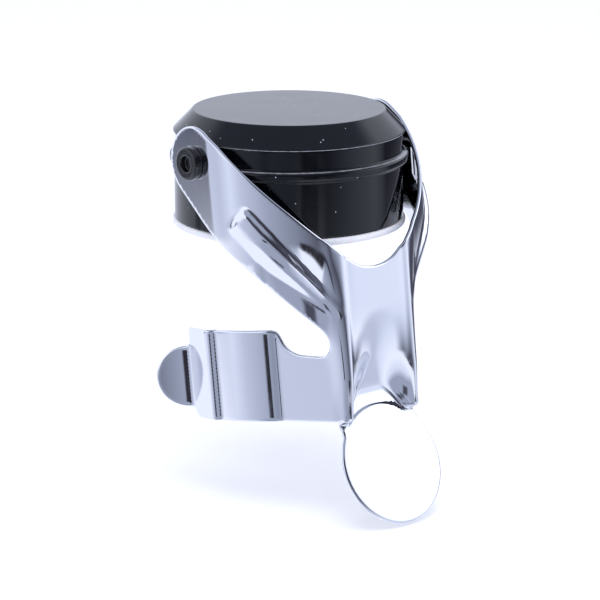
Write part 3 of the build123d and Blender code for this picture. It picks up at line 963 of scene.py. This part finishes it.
def makeWorld():
    world = bpy.data.worlds.new("studio")
    bpy.context.scene.world = world
    world.use_nodes = True
    tree = world.node_tree
    tree.nodes.clear()
    ray = addNode(tree, "ShaderNodeLightPath").outputs
    seen = addNode(tree, "ShaderNodeMath", {0: ray["Is Camera Ray"], 1: ray["Is Glossy Ray"]},
                   operation="MAXIMUM")
    shown = addNode(tree, "ShaderNodeMath", {0: seen.outputs[0], 1: ray["Is Transmission Ray"]},
                    operation="MAXIMUM")
    level = addNode(tree, "ShaderNodeMix", {
        "Factor": shown.outputs[0], "A": fromHex(studio["shadowSky"]),
        "B": fromHex(studio["seenSky"])}, data_type="RGBA")
    back = addNode(tree, "ShaderNodeBackground",
                   {"Color": level.outputs["Result"], "Strength": 1.0})
    addNode(tree, "ShaderNodeOutputWorld", {"Surface": back.outputs[0]})


# Graded surround: the paper walls of a light tent, in eight shades, that only the gloss picks up.
# Each band gives shades at azimuths in degrees, as the object sees them. The bands blend by height.
papers = {
    "white": "#eaf0ff", "pale": "#c8cddc", "light": "#b5bcce", "soft": "#9fa5b8",
    "middle": "#81889a", "dim": "#6a7080", "dark": "#3c3d49", "black": "#24232a",
}
surround = {
    "radius": 2.0, "strength": 1.7,
    "horizon": ((-180, "pale"), (-149, "pale"), (-145, "dim"), (-141, "dark"), (-138, "soft"),
                (-123, "soft"), (-107, "light"), (-92, "soft"), (-60, "middle"), (-30, "dim"),
                (-3, "dark"), (7, "dim"), (23, "soft"), (35, "light"), (54, "pale"), (63, "soft"),
                (73, "dark"), (128, "dark"), (142, "pale"), (180, "pale")),
    "below": ((-180, "pale"), (-128, "pale"), (-88, "soft"), (-70, "middle"), (-42, "middle"),
              (-28, "light"), (-8, "pale"), (25, "light"), (50, "soft"), (62, "soft"),
              (84, "pale"), (180, "pale")),
    "above": ((-180, "pale"), (-74, "pale"), (-62, "dark"), (-20, "black"), (20, "dark"),
              (33, "pale"), (44, "white"), (80, "white"), (105, "pale"), (180, "pale")),
    "belowFrom": (-10, -19), "aboveFrom": (2, 12), "overheadFrom": (36, 50), "overhead": "middle",
    "patches": (      # azimuths, heights, soft border, shade
        ((-68.5, -60), (-10.8, -6.3), 1.5, "black"),
        ((-71, -54), (-36.5, -29), 3.0, "dark"),
        ((-176, -85), (-90, -32), 5.0, "pale"),
        ((-31, -4), (-21, -13), 3.0, "pale"),
        ((-28, -11), (-13.5, -8.5), 2.0, "black"),
    ),
}


# Each layer is the soft edges that bound it and its colour. An edge is a value with its limits for
# none and for full.
def surroundLayers(azimuth, height, walls):
    s = surround
    layers = [(((height, *s["belowFrom"]),), walls["below"])]
    for (west, east), (low, high), soft, shade in s["patches"]:
        west, east, border, rise = (west + 180) / 360, (east + 180) / 360, soft / 360, soft / 2
        edges = ((azimuth, west - border, west + border), (azimuth, east + border, east - border),
                 (height, low - rise, low + rise), (height, high + rise, high - rise))
        layers.append((edges, fromHex(papers[shade])))
    layers.append((((height, *s["aboveFrom"]),), walls["above"]))
    layers.append((((height, *s["overheadFrom"]),), fromHex(papers[s["overhead"]])))
    return layers


def makeSurround():
    s = surround
    bpy.ops.mesh.primitive_uv_sphere_add(segments=64, ring_count=32, radius=s["radius"])
    dome = bpy.context.object
    dome.name = "gradedSurround"
    material = bpy.data.materials.new("gradedPaper")
    material.use_nodes = True
    tree = material.node_tree
    tree.nodes.clear()
    place = addNode(tree, "ShaderNodeTexCoord").outputs["Object"]
    way = addNode(tree, "ShaderNodeVectorMath", {0: place}, operation="NORMALIZE")
    parts = addNode(tree, "ShaderNodeSeparateXYZ", {0: way.outputs[0]}).outputs
    turn = addNode(tree, "ShaderNodeMath", {0: parts["Y"], 1: parts["X"]}, operation="ARCTAN2")
    azimuth = addNode(tree, "ShaderNodeMapRange", {
        "Value": turn.outputs[0], "From Min": -math.pi, "From Max": math.pi}).outputs[0]
    tilt = addNode(tree, "ShaderNodeMath", {0: parts["Z"]}, operation="ARCSINE")
    height = addNode(tree, "ShaderNodeMath", {0: tilt.outputs[0], 1: 180 / math.pi},
                     operation="MULTIPLY").outputs[0]
    walls = {}
    for band in ("horizon", "below", "above"):
        ramp = addNode(tree, "ShaderNodeValToRGB", {"Fac": azimuth})
        stops = ramp.color_ramp.elements
        for index, (angle, shade) in enumerate(s[band]):
            position = (angle + 180) / 360
            last = index == len(s[band]) - 1
            stop = stops[0] if index == 0 else stops[-1] if last else stops.new(position)
            stop.position, stop.color = position, fromHex(papers[shade])
        walls[band] = ramp.outputs["Color"]
    colour = walls["horizon"]
    for edges, paint in surroundLayers(azimuth, height, walls):
        share = 1.0
        for value, none, full in edges:
            edge = addNode(tree, "ShaderNodeMapRange",
                           {"Value": value, "From Min": none, "From Max": full},
                           interpolation_type="SMOOTHSTEP")
            share = addNode(tree, "ShaderNodeMath", {0: edge.outputs[0], 1: share},
                            operation="MULTIPLY").outputs[0]
        colour = addNode(tree, "ShaderNodeMix", {"Factor": share, "A": colour, "B": paint},
                         data_type="RGBA").outputs["Result"]
    paper = addNode(tree, "ShaderNodeEmission", {"Color": colour, "Strength": s["strength"]})
    addNode(tree, "ShaderNodeOutputMaterial", {"Surface": paper.outputs[0]})
    dome.data.materials.append(material)
    dome.visible_camera = dome.visible_diffuse = False
    dome.visible_transmission = dome.visible_shadow = False


def makeLamp():
    data = bpy.data.lights.new("softboxAbove", "AREA")
    data.shape, data.size, data.energy = "DISK", studio["lampSize"], studio["lampPower"]
    lamp = linkPiece("softboxAbove", data)
    lamp.location = studio["lampAt"]
    lamp.rotation_euler = Vector(studio["lampAt"]).to_track_quat("Z", "Y").to_euler()
    lamp.visible_glossy = False      # the surround is what the gloss shows


makeCamera()
makeFloor()
makeWorld()
makeSurround()
makeLamp()
bpy.context.scene.view_settings.view_transform = "Standard"
print("studio made")
